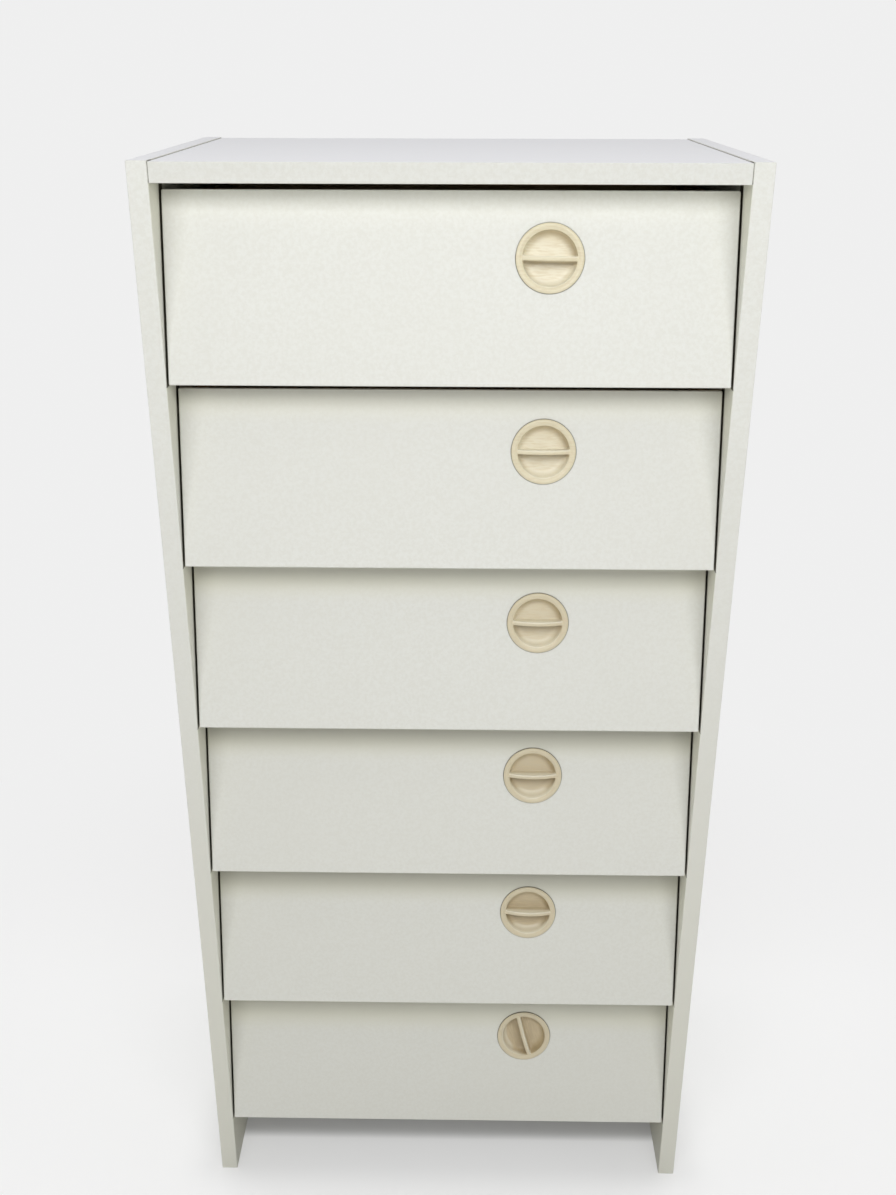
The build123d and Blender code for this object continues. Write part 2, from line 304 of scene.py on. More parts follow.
class ChestPull(bpy.types.PropertyGroup):
    """Sizes of the moulded pull: a round cup with a bar across it"""

    flange_radius: FloatProperty(
        name="Flange radius",
        description="Outer radius of the rim that covers the pocket in the front",
        unit="LENGTH",
        default=33.8 * MM,
    )
    body_radius: FloatProperty(
        name="Body radius",
        description="Radius of the cup behind the flange",
        unit="LENGTH",
        default=30 * MM,
    )
    opening_radius: FloatProperty(
        name="Opening radius",
        description="Radius of the recess at its lip",
        unit="LENGTH",
        default=27 * MM,
    )
    rim_height: FloatProperty(
        name="Rim height",
        description="How far the rim's crest stands out of the front",
        unit="LENGTH",
        default=2.3 * MM,
    )
    recess_depth: FloatProperty(
        name="Recess depth",
        description="From the front's face to the recess floor",
        unit="LENGTH",
        default=10 * MM,
    )
    floor_thickness: FloatProperty(
        name="Floor thickness",
        description="Thickness of the recess floor",
        unit="LENGTH",
        default=1.8 * MM,
    )
    bar_thickness: FloatProperty(
        name="Bar thickness",
        description="Width of the bar seen from the front",
        unit="LENGTH",
        default=4.6 * MM,
    )
    bar_bow: FloatProperty(
        name="Bar bow",
        description="How far the middle of the bar stands out of the front",
        unit="LENGTH",
        default=6 * MM,
    )
    bar_sag: FloatProperty(
        name="Bar sag",
        description="How far the middle of the bar bends down",
        unit="LENGTH",
        default=0.5 * MM,
    )
    bar_crown: FloatProperty(
        name="Bar crown",
        description="How far the bar's front face swells between its edges",
        unit="LENGTH",
        default=0.3 * MM,
    )
    bar_soft_edge: FloatProperty(
        name="Bar soft edge",
        description="Rounding of the bar's upper edge",
        unit="LENGTH",
        default=0.9 * MM,
    )
    draft: FloatProperty(
        name="Draft",
        description="How much the recess wall closes in before the cove at its foot",
        unit="LENGTH",
        default=1.2 * MM,
    )
    cove: FloatProperty(
        name="Cove",
        description="Radius of the hollow between the recess wall and its floor",
        unit="LENGTH",
        default=6 * MM,
    )
    fillet: FloatProperty(
        name="Fillet",
        description="Rounding at the foot of the bar's web",
        unit="LENGTH",
        default=1 * MM,
    )
    lip: FloatProperty(
        name="Lip",
        description="Rounding of the edges round the two pockets",
        unit="LENGTH",
        default=0.7 * MM,
    )
    corner: FloatProperty(
        name="Corner",
        description="Rounding of the pockets where the bar meets the rim",
        unit="LENGTH",
        default=1 * MM,
    )
    smoothness: IntProperty(
        name="Smoothness",
        description="Subdivision level of the pulls",
        min=0,
        max=4,
        default=2,
    )


class ChestStudio(bpy.types.PropertyGroup):
    """Backdrop, light and camera"""

    backdrop: FloatProperty(
        name="Backdrop",
        description="Brightness of the floor and background where no shadow falls",
        min=0,
        max=1,
        default=0.866,
    )
    floor_lift: FloatProperty(
        name="Floor lift",
        description="Brightness that the floor keeps in the deepest shadow",
        min=0,
        default=0.47,
    )
    daylight: FloatProperty(
        name="Daylight",
        description="Strength of the even light from all round",
        min=0,
        default=0.91,
    )
    softbox_power: FloatProperty(
        name="Softbox power",
        description="Power of the large lamp that hangs in front of the chest and above it",
        unit="POWER",
        min=0,
        default=20.8,
    )
    softbox_tilt: FloatProperty(
        name="Softbox tilt",
        description="Turn of the large lamp from straight down towards the chest",
        subtype="ANGLE",
        min=0,
        default=0.5,
    )
    top_power: FloatProperty(
        name="Top lamp power",
        description="Power of the lamp above the chest's top",
        unit="POWER",
        min=0,
        default=0.7,
    )
    camera_place: FloatVectorProperty(
        name="Camera place",
        description="Where the camera stands",
        subtype="TRANSLATION",
        unit="LENGTH",
        size=3,
        default=(0.0161, -1.3885, 1.3549),
    )
    camera_angles: FloatVectorProperty(
        name="Camera angles",
        description="Downward pitch, roll and turn of the camera",
        subtype="EULER",
        unit="ROTATION",
        size=3,
        default=(0.411, 0.002, 0.014),
    )
    lens: FloatProperty(
        name="Lens",
        description="Focal length for a 36 mm sensor, in millimetres",
        min=1,
        default=37.11,
    )


# ---- Materials ----

SIDEWAYS, DEPTHWAYS = 0, 1  # axes that a timber's fibres can run along
STRIP_NARROWS = 0.16  # of a bay, that the painted shade strip under an overhang loses for each metre of height
OVERHUNG_WAY = Vector((0.37, 0.93))  # from a pull's middle to where the painted shadow under its lip is darkest
DUSTY = 0.3  # what settled dust adds to the roughness


def node(tree, kind, inputs=None, **settings):
    """Adds a shader node; an input is either a plain value or the socket that feeds it."""
    made = tree.nodes.new("ShaderNode" + kind)
    for name, value in settings.items():
        setattr(made, name, value)
    for name, value in (inputs or {}).items():
        if isinstance(value, bpy.types.NodeSocket):
            tree.links.new(value, made.inputs[name])
        else:
            made.inputs[name].default_value = value
    return made


def material(name, **shader_values):
    """A new material with only its surface shader. Returns the material, its tree and the shader."""
    made = bpy.data.materials.new(name)
    made.use_nodes = True
    tree = made.node_tree
    shader = tree.nodes["Principled BSDF"]
    for socket, value in shader_values.items():
        shader.inputs[socket.replace("_", " ")].default_value = value
    return made, tree, shader


def feed(tree, shader, colour, roughness, normal):
    """Links a surface shader to its colour, roughness and bumped normal."""
    tree.links.new(colour, shader.inputs["Base Color"])
    tree.links.new(roughness, shader.inputs["Roughness"])
    tree.links.new(normal, shader.inputs["Normal"])


def object_space(tree, stretch=(1, 1, 1)):
    """Coordinates in metres that stay with the piece, stretched along its axes."""
    place = node(tree, "TexCoord").outputs["Object"]
    return node(tree, "Mapping", {"Vector": place, "Scale": stretch}).outputs["Vector"]


def parts_of(tree, vector):
    """The X, Y and Z of a vector."""
    return node(tree, "SeparateXYZ", {"Vector": vector}).outputs


def facing_way(tree):
    """The X, Y and Z of the way that a surface faces, along its piece's axes."""
    return parts_of(tree, node(tree, "TexCoord").outputs["Normal"])


def length_of(tree, vector):
    """How long a vector is."""
    return node(tree, "VectorMath", {0: vector}, operation="LENGTH").outputs["Value"]


def distance(tree, across, up):
    """Distance from the middle of a face, from how far across and up it a point lies."""
    return length_of(tree, node(tree, "CombineXYZ", {"X": across, "Y": up}).outputs["Vector"])


def noise(tree, place, scale, detail=2.0, roughness=0.5, distortion=0.0):
    """Soft noise with about scale features to the metre."""
    values = {
        "Vector": place,
        "Scale": scale,
        "Detail": detail,
        "Roughness": roughness,
        "Distortion": distortion,
    }
    return node(tree, "TexNoise", values).outputs["Fac"]


def maths(tree, operation, first, second=0.0):
    """Result of one operation on one or two values or sockets."""
    return node(tree, "Math", {0: first, 1: second}, operation=operation).outputs[0]


def product(tree, *values):
    """All the values multiplied together."""
    whole = values[0]
    for value in values[1:]:
        whole = maths(tree, "MULTIPLY", whole, value)
    return whole


def between(tree, value, low, high, to_low=0.0, to_high=1.0):
    """Maps one range smoothly to another, and holds the value there beyond its ends."""
    values = {
        "Value": value,
        "From Min": low,
        "From Max": high,
        "To Min": to_low,
        "To Max": to_high,
    }
    return node(tree, "MapRange", values, interpolation_type="SMOOTHSTEP").outputs["Result"]


def blend_colour(tree, amount, first, second):
    """Mix of two colours; each is a colour or a socket."""
    made = node(tree, "Mix", {"Factor": amount}, data_type="RGBA", clamp_factor=True)
    for socket, value in ((made.inputs[6], first), (made.inputs[7], second)):
        if isinstance(value, bpy.types.NodeSocket):
            tree.links.new(value, socket)
        else:
            socket.default_value = (*value, 1)
    return made.outputs[2]


def painted(tree, colour, layers):
    """A colour under layers laid on in turn, each an amount and a tone."""
    for amount, tone in layers:
        colour = blend_colour(tree, amount, colour, tone)
    return colour


def toned(colour, factor):
    """A paler or darker kin of a colour."""
    return tuple(min(1, factor * part) for part in colour)


def bump(tree, height, depth, strength, under=None):
    """Raises the surface by up to depth metres; under is another bump's output."""
    values = {"Height": height, "Distance": depth, "Strength": strength}
    if under is not None:
        values["Normal"] = under
    return node(tree, "Bump", values).outputs["Normal"]


def bay_share(tree, height):
    """How far up its drawer's bay a height lies, 0 at a front's lower edge and 1 at the next one's."""
    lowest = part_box(f"{DRAWERS[-1]}_front")[0].z
    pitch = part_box(f"{DRAWERS[-2]}_front")[0].z - lowest
    bays = maths(tree, "DIVIDE", maths(tree, "SUBTRACT", height, lowest), pitch)
    return maths(tree, "FRACT", bays), pitch


def front_marks(tree, finish, place):
    """Painted shade on the fronts: darker and yellower towards the floor and under the front above,
    darker towards their ends, with a dark hairline of dirt and painted shadow round the pulls.
    """
    parts = parts_of(tree, place)
    height = parts["Z"]
    share, pitch = bay_share(tree, height)
    # Painted shade: darker and yellower towards the floor, standing in for the light that falls off
    # lower down.
    yield between(tree, height, 0.1, 1.1, 0.25, 0.1), finish.laminate_shade
    yield between(tree, height, 0.1, 1.1, 0.15, 0.0), finish.laminate_painted_shade
    # Painted shadow: a yellower strip high on each front, under the front above; narrower higher up and
    # fainter on the top drawer.
    sheltered = maths(tree, "SUBTRACT", share, product(tree, height, STRIP_NARROWS))
    low = between(tree, height, 0.9, 1.2, 1.0, 0.35)
    yield product(tree, between(tree, sheltered, 0.6, 0.75, 0.0, 0.85), low), finish.laminate_painted_shade
    # Painted shadow: a darker strip under the overhang on the lower fronts, weaker near the floor.
    shadow_strip = between(tree, sheltered, 0.62, 0.77, 0.0, 0.23)
    lower = between(tree, height, 0.65, 1.0, 1.0, 0.0)
    off_floor = between(tree, height, 0.2, 0.4, 0.4, 1.0)
    yield product(tree, shadow_strip, lower, off_floor), finish.grime_and_shade

    # Painted shade: fronts darker towards their ends, wider high up where the front sits furthest behind
    # the side panels.
    top_front = f"{DRAWERS[0]}_front"
    corner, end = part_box(top_front)
    from_end = maths(tree, "SUBTRACT", end.x, maths(tree, "ABSOLUTE", parts["X"]))
    width = between(tree, share, 0.0, 1.0, 1 * MM, 28 * MM)
    near = between(tree, maths(tree, "DIVIDE", from_end, width), 0.1, 1.1, 0.17, 0.0)
    yield product(tree, near, between(tree, share, 0.0, 0.2)), finish.grime_and_shade

    # Round each pull on the front, a dark hairline that is partly dirt in the joint and partly painted
    # contact shadow.
    seat = pull_seat(DRAWERS[0]).translation
    seat_share = ((seat.z - corner.z) / pitch) % 1
    slope = pitch / -facing(top_front).y
    up = product(tree, maths(tree, "SUBTRACT", share, seat_share), slope)
    across = maths(tree, "SUBTRACT", parts["X"], seat.x)
    edge = bpy.context.scene.chest_pull.flange_radius
    yield between(tree, distance(tree, across, up), edge, edge + 0.7 * MM, 0.35, 0.0), finish.grime_and_shade


def side_marks(tree, finish, place):
    """Painted shade on the side panels, darker towards the floor, yellow high in each bay, dark in the
    gaps and on the feet; a dark joint at the top.
    """
    parts = parts_of(tree, place)
    height = parts["Z"]
    way = facing_way(tree)
    frontal = between(tree, way["Y"], -0.9, -0.5, 1.0, 0.25)
    # Painted shade: darker towards the floor, and the front edges yellower lower down, standing in for
    # the light that falls off.
    yield between(tree, height, 0.3, 1.25, 1.0, 0.0), finish.laminate_shade
    yield product(tree, frontal, between(tree, height, 0.1, 0.9, 0.45, 0.0)), finish.laminate_painted_shade

    low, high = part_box("side_right")
    middle = (low.x + high.x) / 2
    away = maths(tree, "ABSOLUTE", parts["X"])
    inner = product(
        tree,
        between(tree, away, middle - 2 * MM, middle + 2 * MM, 1.0, 0.0),
        between(tree, maths(tree, "ABSOLUTE", way["X"]), 0.5, 0.9),
    )
    # Painted shade: inner faces yellower high in each bay, where the front above overhangs.
    share, pitch = bay_share(tree, height)
    yield product(tree, inner, between(tree, share, 0.35, 0.95, 0.2, 0.8)), finish.laminate_painted_shade

    # Painted shadow: inner faces dark in the gap just behind each front's face, fading deeper in.
    out = facing(f"{DRAWERS[0]}_front")
    setback = product(tree, share, pitch * out.z / -out.y)
    behind = maths(tree, "SUBTRACT", maths(tree, "SUBTRACT", parts["Y"], low.y), setback)
    gap_shadow = between(tree, behind, -0.6 * MM, 0.6 * MM, 0.0, 0.97)
    shallow = between(tree, behind, 12 * MM, 18 * MM, 1.0, 0.0)
    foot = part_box(f"{DRAWERS[-1]}_front")[0].z
    above_foot = between(tree, height, foot - 0.5 * MM, foot + 0.5 * MM)
    yield product(tree, inner, gap_shadow, shallow, above_foot), finish.grime_and_shade
    # Painted shade: the feet's inner faces darker below the lowest front.
    foot_shadow = between(tree, height, foot - 10 * MM, foot + 2 * MM, 0.2, 0.0)
    yield product(tree, inner, foot_shadow), finish.grime_and_shade
    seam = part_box("top_panel")[1].z
    yield product(tree, inner, between(tree, height, seam - 0.3 * MM, seam, 0.0, 0.6)), finish.grime_and_shade


def top_marks(tree, finish, place):
    """A dark hairline where the top panel meets the side panels, and painted shade on faces that look
    forward.
    """
    # Painted shade: faces that look forward a little darker.
    yield between(tree, facing_way(tree)["Y"], -0.9, -0.5, 0.06, 0.0), finish.grime_and_shade
    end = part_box("top_panel")[1].x
    away = maths(tree, "ABSOLUTE", parts_of(tree, place)["X"])
    yield between(tree, away, end - 0.9 * MM, end - 0.5 * MM, 0.0, 0.85), finish.grime_and_shade


def satin_laminate(name, finish, marks):
    """Off-white melamine laminate, lightly clouded and finely pebbled, with dust and a painted bluish
    sheen on faces that look up, and marks that are partly dirt and partly painted shade.
    """
    made, tree, shader = material(name, Specular_IOR_Level=0.42)
    place = object_space(tree)
    clouds = noise(tree, place, 3.5, detail=3)
    mottle = noise(tree, place, 260, detail=3, roughness=0.6)
    pebbles = noise(tree, place, 1 / finish.pebble, detail=1.5)
    # Dust on faces that look up: it roughens them and lays on a bluish tone that is partly dust and
    # partly painted sky reflection.
    dust_and_sheen = between(tree, facing_way(tree)["Z"], 0.75, 0.95, 0.0, 0.9)
    layers = (
        (between(tree, clouds, 0.35, 0.75, 0.0, 0.35), finish.laminate_shade),
        (between(tree, mottle, 0.32, 0.68, 0.0, 0.7), finish.laminate_shade),
        (dust_and_sheen, finish.dust),
        *marks(tree, finish, place),
    )
    satin = between(tree, mottle, 0.3, 0.7, 0.40, 0.50)
    rough = maths(tree, "ADD", satin, product(tree, dust_and_sheen, DUSTY))
    waves = bump(tree, clouds, 0.4 * MM, 0.3)
    grained = bump(tree, pebbles, 0.05 * MM, 0.45, waves)
    feed(tree, shader, painted(tree, finish.laminate, layers), rough, grained)
    return made


def pull_marks(tree, finish, sizes, place):
    """Painted light and shade on the pulls, browner low on the chest and in their recesses, with painted
    shadows under the lip and the bar, a painted highlight beside the bar and a dark edge of dirt and
    painted shadow; also flow streaks.
    """
    parts = parts_of(tree, place)
    seat = parts_of(tree, node(tree, "ObjectInfo").outputs["Location"])
    radius = distance(tree, parts["X"], parts["Y"])
    lip = sizes.opening_radius
    inside = between(tree, radius, lip + 0.3 * MM, lip + 1.2 * MM, 1.0, 0.0)
    sunk = product(tree, inside, between(tree, parts["Z"], -2.5 * MM, 0.3 * MM, 1.0, 0.0))
    # Painted shade amount: 1 for the pulls low on the chest and 0 high up.
    shade_by_height = between(tree, seat["Z"], 0.25, 1.2, 1.0, 0.0)
    # Painted shade: pulls low on the chest browner.
    yield between(tree, seat["Z"], 0.72, 1.1, 1.0, 0.0), finish.plastic_low_shade
    # Painted light and shade: recesses pale on the upper pulls and brown on the lower ones.
    yield sunk, blend_colour(tree, shade_by_height, finish.recess, finish.recess_painted_shade)
    flow = noise(tree, object_space(tree, (70, 520, 70)), 1.0, detail=4, distortion=0.6)
    yield between(tree, flow, 0.42, 0.66, 0.0, 0.5), finish.plastic_streak_and_shade

    # Painted shadow under the upper right of each pull's lip.
    upward = product(tree, parts["Y"], OVERHUNG_WAY.y)
    rightward = product(tree, parts["X"], OVERHUNG_WAY.x)
    bearing = maths(tree, "DIVIDE", maths(tree, "ADD", upward, rightward), radius)
    overhung = product(
        tree,
        between(tree, bearing, 0.1, 0.75),
        between(tree, radius, lip - 9 * MM, lip - 1 * MM, 0.0, 0.75),
        between(tree, parts["Z"], 0.0, 0.8 * MM, 1.0, 0.0),
    )
    yield product(tree, inside, overhung), finish.plastic_painted_shadow
    # Painted shade: the upper pocket darker towards its top, under the lip.
    dull = between(tree, parts["Y"], 6 * MM, 24 * MM, 0.0, 0.45)
    yield product(tree, sunk, dull), finish.plastic_streak_and_shade

    # Painted light: faces that look up near the bar's top and low in the lower pocket are painted pale.
    bar = sizes.bar_thickness / 2
    facing_up = between(tree, facing_way(tree)["Y"], 0.1, 0.6)
    beside_bar = between(tree, parts["Y"], 1.5 * bar, 2 * bar, 1.0, 0.0)
    high = between(tree, parts["Z"], -7 * MM, 0.0)
    at_foot = between(tree, parts["Y"], -21 * MM, -15 * MM, 0.7, 0.0)
    bright = maths(tree, "MAXIMUM", product(tree, beside_bar, high), at_foot)
    yield product(tree, inside, facing_up, bright), finish.recess

    # Painted shadow on the lower pocket under the bar, wider on the pulls low on the chest.
    below_bar = between(tree, parts["Y"], -bar - 0.5 * MM, -bar + 0.2 * MM, 1.0, 0.0)
    line = between(tree, parts["Y"], -bar - 5 * MM, -bar - 1.5 * MM, 0.0, 0.7)
    wide = product(
        tree,
        between(tree, parts["Y"], -bar - 17 * MM, -bar - 2 * MM, 0.0, 0.65),
        between(tree, shade_by_height, 0.0, 0.8, 0.35, 1.0),
    )
    yield product(tree, sunk, below_bar, maths(tree, "MAXIMUM", line, wide)), finish.plastic_painted_shadow
    # Flange's outer edge darkened: partly dirt in the joint, partly painted contact shadow.
    edge = sizes.flange_radius
    yield between(tree, radius, edge - 0.8 * MM, edge - 0.25 * MM, 0.0, 0.92), finish.grime_and_shade


def moulded_plastic(finish, sizes):
    """Cream moulded plastic, satin and finely grained, with flow streaks, dirt and painted light and
    shade.
    """
    made, tree, shader = material("moulded_plastic", Specular_IOR_Level=0.5)
    place = object_space(tree)
    fine = noise(tree, place, 900, detail=3)
    colour = painted(tree, finish.plastic, pull_marks(tree, finish, sizes, place))
    satin = between(tree, fine, 0.3, 0.7, 0.30, 0.42)
    feed(tree, shader, colour, satin, bump(tree, fine, 0.03 * MM, 0.4))
    return made


def along_grain(tree, grain, across, along):
    """Coordinates for a figure of so many features to the metre across the fibres and along them."""
    stretch = [across, across, across]
    stretch[grain] = along
    return object_space(tree, stretch)


def timber(name, finish, grain):
    """Pale planed hardwood; grain is the axis that its fibres run along."""
    made, tree, shader = material(name, Specular_IOR_Level=0.35)
    rings = noise(tree, along_grain(tree, grain, 26.0, 1.6), 1.0, detail=3, distortion=0.8)
    fleck = noise(tree, along_grain(tree, grain, 900.0, 60.0), 1.0, detail=2)
    layers = (
        (between(tree, rings, 0.35, 0.68, 0.0, 0.8), finish.timber_grain),
        (between(tree, fleck, 0.56, 0.72, 0.0, 0.5), finish.timber_grain),
    )
    planed = between(tree, rings, 0.3, 0.7, 0.52, 0.66)
    pores = bump(tree, fleck, 0.08 * MM, 0.5)
    feed(tree, shader, painted(tree, finish.timber, layers), planed, pores)
    return made


def pressed_hardboard(finish):
    """Brown pressed fibreboard with a felt of short fibres."""
    made, tree, shader = material("pressed_hardboard", Specular_IOR_Level=0.3)
    place = object_space(tree)
    felt = noise(tree, place, 420, detail=5, roughness=0.7, distortion=1.5)
    clouds = noise(tree, place, 7, detail=3)
    layers = (
        (between(tree, felt, 0.35, 0.7), toned(finish.hardboard, 0.6)),
        (between(tree, clouds, 0.4, 0.8, 0.0, 0.3), toned(finish.hardboard, 1.3)),
    )
    pressed = between(tree, felt, 0.3, 0.7, 0.45, 0.65)
    fibres = bump(tree, felt, 0.06 * MM, 0.5)
    feed(tree, shader, painted(tree, finish.hardboard, layers), pressed, fibres)
    return made


def bright_steel(finish):
    """Drawn steel of the panel pins, dulled in patches."""
    made, tree, shader = material("bright_steel", Metallic=1.0)
    dull = noise(tree, object_space(tree), 600, detail=3)
    colour = blend_colour(tree, between(tree, dull, 0.4, 0.8), finish.steel, toned(finish.steel, 0.6))
    drawn = between(tree, dull, 0.3, 0.7, 0.25, 0.45)
    feed(tree, shader, colour, drawn, bump(tree, dull, 0.02 * MM, 0.3))
    return made


def dress(surface, *nodes):
    """Puts one finish on every slot of some CAD nodes."""
    for name in nodes:
        for slot in frame["nodes"][name].material_slots:
            slot.material = surface


# ---- The moulded pull ----

ARC_STEPS = 20  # along a pocket's arc, and along the bar beside it
CORNER_STEPS = 3  # round each corner of a pocket
BAR_STEPS = 4  # across the top of the bar
LIP_STEPS = 2  # over the rounded edge of a pocket
COVE_STEPS = 5  # down the hollow between a pocket's wall and its floor
CREST_STEPS = 4  # from the rim's crest to either of its edges

LIP_SHARE = 0.45  # of the rim's height, at the edge of the opening
CREST_SHARE = 0.6  # of the way from the opening to the flange's edge, where the rim is highest
FLANGE_SWEEP = 0.9 * pi / 2  # angle from the crest down to the flange's edge
CORNER_GROWTH = 0.25  # of a pocket's inset, which its corners' radius gains on the way down
FLOOR_INSET = 1.3  # coves from a pocket's wall to the first ring of flat floor
BAR_FOOT = 2.2  # fillets from the bar's web to the first ring of flat floor
FLANGE_LAND = 0.06 * MM  # upright edge of the flange
EASED_EDGE = 0.3 * MM  # at the flange's edge and where the cup meets it
BACK_EDGE = 0.6 * MM  # round the cup's back
BACK_RING = 0.6  # of the cup's radius, a ring that keeps its back flat


def part_way(start, end, share):
    """The value that lies a share of the way from start to end."""
    return start + (end - start) * share


def pocket_outline(radius, bar_edge, corner):
    """Points round the pocket above the bar, anticlockwise from the right end of the bar's edge."""
    centre_y = bar_edge + corner
    centre_x = sqrt((radius - corner) ** 2 - centre_y**2)
    bearing = atan2(centre_y, centre_x)
    outline = []
    for step in range(CORNER_STEPS):
        angle = part_way(-pi / 2, bearing, step / CORNER_STEPS)
        outline.append(Vector((centre_x + corner * cos(angle), centre_y + corner * sin(angle))))
    for step in range(ARC_STEPS):
        angle = part_way(bearing, pi - bearing, step / ARC_STEPS)
        outline.append(Vector((radius * cos(angle), radius * sin(angle))))
    for step in range(CORNER_STEPS):
        angle = part_way(pi - bearing, 3 * pi / 2, step / CORNER_STEPS)
        outline.append(Vector((corner * cos(angle) - centre_x, centre_y + corner * sin(angle))))
    for step in range(ARC_STEPS):
        outline.append(Vector((part_way(-centre_x, centre_x, step / ARC_STEPS), bar_edge)))
    return outline


def bridge(shell, first, second, closed=True):
    """Quads between two equal rows of vertices; the second row lies to the left of the first."""
    count = len(first)
    for here in range(count if closed else count - 1):
        after = (here + 1) % count
        shell.faces.new((first[here], first[after], second[after], second[here]))


class PullShape:
    """Builds the cage of one pull, with Z out of the front and X along the bar."""

    def __init__(self, sizes):
        self.sizes = sizes
        self.shell = bmesh.new()
        self.reach = sizes.opening_radius + sizes.lip
        self.lip_height = sizes.rim_height * LIP_SHARE

    def settle(self, flat, share=0.0, extra=0.0):
        """A vertex over a flat point, a share of the way from the top surface to the recess floor."""
        inside = max(0.0, 1 - flat.length_squared / self.reach**2)
        top = part_way(self.lip_height, self.sizes.bar_bow, inside) + extra
        height = part_way(top, -self.sizes.recess_depth, share)
        shifted = flat.y - self.sizes.bar_sag * inside
        return self.shell.verts.new((flat.x, shifted, height))

    def wall(self, edge):
        """Steps down a pocket: inset of its arc, inset of the bar's side and share of the depth."""
        sizes = self.sizes
        drop = self.lip_height + sizes.recess_depth
        for step in range(LIP_STEPS + 1):
            angle = part_way(0, pi / 2, step / LIP_STEPS)
            over = 1 - sin(angle)
            yield -sizes.lip * over, -edge * over, sizes.lip * (1 - cos(angle)) / drop
        straight = drop - sizes.cove
        yield sizes.draft / 2, 0.0, part_way(sizes.lip, straight, 0.5) / drop
        for step in range(COVE_STEPS + 1):
            angle = part_way(0, pi / 2, step / COVE_STEPS)
            over = 1 - cos(angle)
            depth = straight + sizes.cove * sin(angle)
            yield sizes.draft + sizes.cove * over, sizes.fillet * over**2, depth / drop
        yield sizes.draft + sizes.cove * FLOOR_INSET, sizes.fillet * BAR_FOOT, 1.0

    def pocket(self, side, edge):
        """One pocket, above the bar for side 1 and below it for side -1. Returns its top edge."""
        sizes = self.sizes
        rows = []
        for arc_inset, bar_inset, share in self.wall(edge):
            outline = pocket_outline(
                sizes.opening_radius - arc_inset,
                sizes.bar_thickness / 2 + bar_inset,
                sizes.corner + max(0.0, arc_inset) * CORNER_GROWTH,
            )
            rows.append([self.settle(Vector((p.x, side * p.y)), share) for p in outline])
        for outer, inner in zip(rows, rows[1:]):
            if side > 0:
                bridge(self.shell, outer, inner)
            else:
                bridge(self.shell, inner, outer)
        self.floor(rows[-1], side)
        return rows[0]

    def floor(self, ring, side):
        """Fills a pocket's lowest ring with rows of quads from the bar's side to the arc's."""
        right = ring[: CORNER_STEPS + 1]
        arc = ring[CORNER_STEPS : CORNER_STEPS + ARC_STEPS + 1][::-1]
        left = ring[CORNER_STEPS + ARC_STEPS : 2 * CORNER_STEPS + ARC_STEPS + 1][::-1]
        bar = ring[2 * CORNER_STEPS + ARC_STEPS :] + ring[:1]
        rows = [bar]
        for step in range(1, CORNER_STEPS):
            up = step / CORNER_STEPS
            row = [left[step]]
            for place in range(1, ARC_STEPS):
                along = place / ARC_STEPS
                blended = (
                    bar[place].co.lerp(arc[place].co, up)
                    + left[step].co.lerp(right[step].co, along)
                    - bar[0].co.lerp(arc[0].co, up).lerp(bar[-1].co.lerp(arc[-1].co, up), along)
                )
                row.append(self.shell.verts.new(blended))
            rows.append(row + [right[step]])
        rows.append(arc)
        for low, high in zip(rows, rows[1:]):
            if side > 0:
                bridge(self.shell, low, high, closed=False)
            else:
                bridge(self.shell, high, low, closed=False)

    def bar_top(self, upper, lower):
        """The bar's crowned top, between the top edges of the two pockets. Returns its two ends."""
        turn = CORNER_STEPS + ARC_STEPS
        above = upper[turn:] + upper[: CORNER_STEPS + 1]
        below = lower[turn:] + lower[: CORNER_STEPS + 1]
        columns = []
        for place, (high, low) in enumerate(zip(above, below)):
            from_end = min(place, len(above) - 1 - place)
            bulge = max(0.0, 1 - from_end / CORNER_STEPS) ** 2
            column = [low]
            for step in range(1, BAR_STEPS):
                across = step / BAR_STEPS
                mixed = low.co.lerp(high.co, across)
                sag = self.sizes.bar_sag * (1 - mixed.x**2 / self.reach**2)
                flat = Vector((mixed.x, mixed.y + sag))
                circle_x = sqrt(self.reach**2 - flat.y**2) * (1 if flat.x > 0 else -1)
                flat.x = part_way(flat.x, circle_x, bulge)
                crown = self.sizes.bar_crown * 4 * across * (1 - across) * (1 - bulge)
                column.append(self.settle(flat, extra=crown))
            column.append(high)
            columns.append(column)
        for left, right in zip(columns, columns[1:]):
            bridge(self.shell, right, left, closed=False)
        return columns[0], columns[-1]

    def rim_profile(self):
        """Radius and height of the rim's rings, from the pockets' edge out, down and round the cup."""
        sizes = self.sizes
        crest = part_way(sizes.opening_radius, sizes.flange_radius, CREST_SHARE)
        back = -sizes.recess_depth - sizes.floor_thickness
        for step in range(1, CREST_STEPS):
            share = step / CREST_STEPS
            height = part_way(self.lip_height, sizes.rim_height, sin(share * pi / 2))
            yield part_way(self.reach, crest, share), height
        for step in range(CREST_STEPS + 1):
            angle = part_way(0, FLANGE_SWEEP, step / CREST_STEPS)
            yield part_way(crest, sizes.flange_radius, sin(angle)), sizes.rim_height * cos(angle)
        yield sizes.flange_radius, FLANGE_LAND
        yield sizes.flange_radius - EASED_EDGE, 0.0
        yield sizes.body_radius + EASED_EDGE, 0.0
        yield sizes.body_radius, -EASED_EDGE
        yield sizes.body_radius, back + BACK_EDGE
        yield sizes.body_radius - BACK_EDGE, back
        yield sizes.body_radius * BACK_RING, back

    def rim(self, upper, lower, left_end, right_end):
        """The rim, flange and cup outside: rings that grow from the pockets' arcs and the bar's ends."""
        arc = slice(CORNER_STEPS, CORNER_STEPS + ARC_STEPS + 1)
        ring = right_end[:-1] + upper[arc][:-1] + left_end[::-1][:-1] + lower[arc][::-1][:-1]
        for radius, height in self.rim_profile():
            ways = [vertex.co.xy.normalized() for vertex in ring]
            grown = [self.shell.verts.new((radius * way.x, radius * way.y, height)) for way in ways]
            bridge(self.shell, grown, ring)
            ring = grown
        self.shell.faces.new(ring[::-1])

